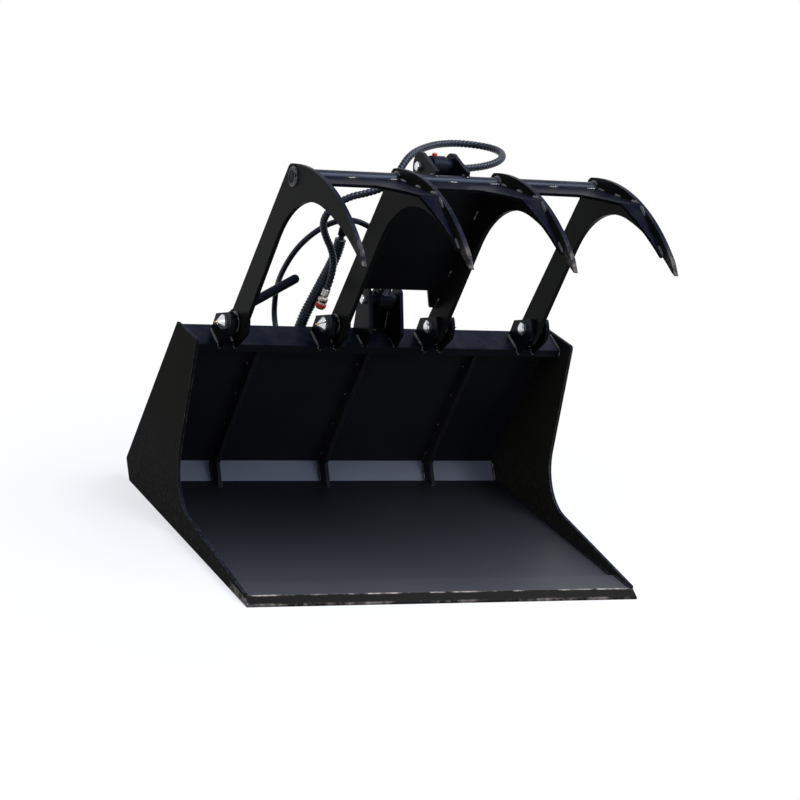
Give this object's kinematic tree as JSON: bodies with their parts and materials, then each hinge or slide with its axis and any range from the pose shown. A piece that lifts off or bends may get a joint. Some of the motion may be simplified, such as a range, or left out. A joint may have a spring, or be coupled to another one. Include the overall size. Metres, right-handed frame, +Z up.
{
  "type": "log grapple",
  "caption": "Log grapple attachment: an open lower jaw with hooked tines that a hydraulic cylinder closes over it, hoses parked behind, on a hook-and-lock carrier plate.",
  "frame": {"origin": "on the underside of the floor plate, midway between the side plates, 450 mm behind the cutting edge", "axes": "+X to the object's right seen from behind the cutting edge looking at the back plate, +Y from the cutting edge to the back, +Z up"},
  "size_m": [1.12, 1.0595, 1.0719],
  "materials": {
    "black_paint": "gloss black powder coat, lightly scratched",
    "worn_edge": "painted edge worn to bare dusty steel",
    "zinc": "bright zinc plate",
    "brass": "turned brass",
    "rod_chrome": "ground hard chrome",
    "hose_rubber": "black hydraulic hose",
    "fitting_steel": "plated steel fitting",
    "red_plastic": "soft red plastic"
  },
  "bodies": {
    "bucket": {"back_plate": "black_paint", "base_ear_left": "black_paint", "base_ear_right": "black_paint", "base_pin": "zinc", "base_spacers": "black_paint", "bracket_plate": "black_paint", "clevis_ears_1": "black_paint", "clevis_ears_2": "black_paint", "clevis_ears_3": "black_paint", "clevis_ears_4": "black_paint", "coupler_gussets": "black_paint", "coupler_hook": "black_paint", "coupler_plate": "black_paint", "coupler_shelf": "black_paint", "cutting_edge": "worn_edge", "dust_caps": "red_plastic", "floor_plate": "black_paint", "grease_nipples": "brass", "heel_plate": "black_paint", "hose_couplings": "fitting_steel", "hose_hanger": "black_paint", "hose_lower": "hose_rubber", "hose_upper": "hose_rubber", "left_side_plate": "black_paint", "pivot_nuts": "zinc", "pivot_pin_1": "zinc", "pivot_pin_2": "zinc", "pivot_pin_3": "zinc", "pivot_pin_4": "zinc", "rib_left": "black_paint", "rib_middle": "black_paint", "rib_right": "black_paint", "right_side_plate": "black_paint", "thrust_washers": "zinc", "top_rail": "black_paint"},
    "clamp": {"cross_tube": "black_paint", "cylinder_guard": "black_paint", "pivot_bush_1": "black_paint", "pivot_bush_2": "black_paint", "pivot_bush_3": "black_paint", "pivot_bush_4": "black_paint", "tine_1": "black_paint", "tine_2": "black_paint", "tine_3": "black_paint", "tine_4": "black_paint", "top_ear_left": "black_paint", "top_ear_right": "black_paint", "top_pin": "zinc", "top_spacers": "black_paint", "web_left": "black_paint", "web_middle": "black_paint", "web_right": "black_paint"},
    "cylinder_barrel": {"barrel": "black_paint", "barrel_eye": "black_paint", "gland": "black_paint", "port_fittings": "fitting_steel", "grease_cap": "red_plastic"},
    "cylinder_rod": {"rod": "rod_chrome", "piston": "rod_chrome", "rod_eye": "black_paint"}
  },
  "joints": [
    {"name": "clamp_pivot", "type": "hinge", "parent": "bucket", "child": "clamp", "pos_m": [0, 0.15009, 0.55193], "axis": [1, 0, 0], "range_deg": [0, 70], "deforming": ["hose_upper", "hose_lower"]},
    {"name": "cylinder_swing", "type": "hinge", "parent": "clamp", "child": "cylinder_barrel", "pos_m": [0, 0.01009, 1.03393], "axis": [1, 0, 0], "range_deg": [-1.4, 0.1]},
    {"name": "cylinder_stroke", "type": "slide", "parent": "cylinder_barrel", "child": "cylinder_rod", "axis": [0, 0.4162, -0.9093], "range_m": [0, 0.0905]}
  ],
  "couplings": [
    {"joint": "cylinder_swing", "follows": "clamp_pivot", "ratio": -0.01874},
    {"joint": "cylinder_stroke", "follows": "clamp_pivot", "m_per_rad": 0.073425}
  ]
}
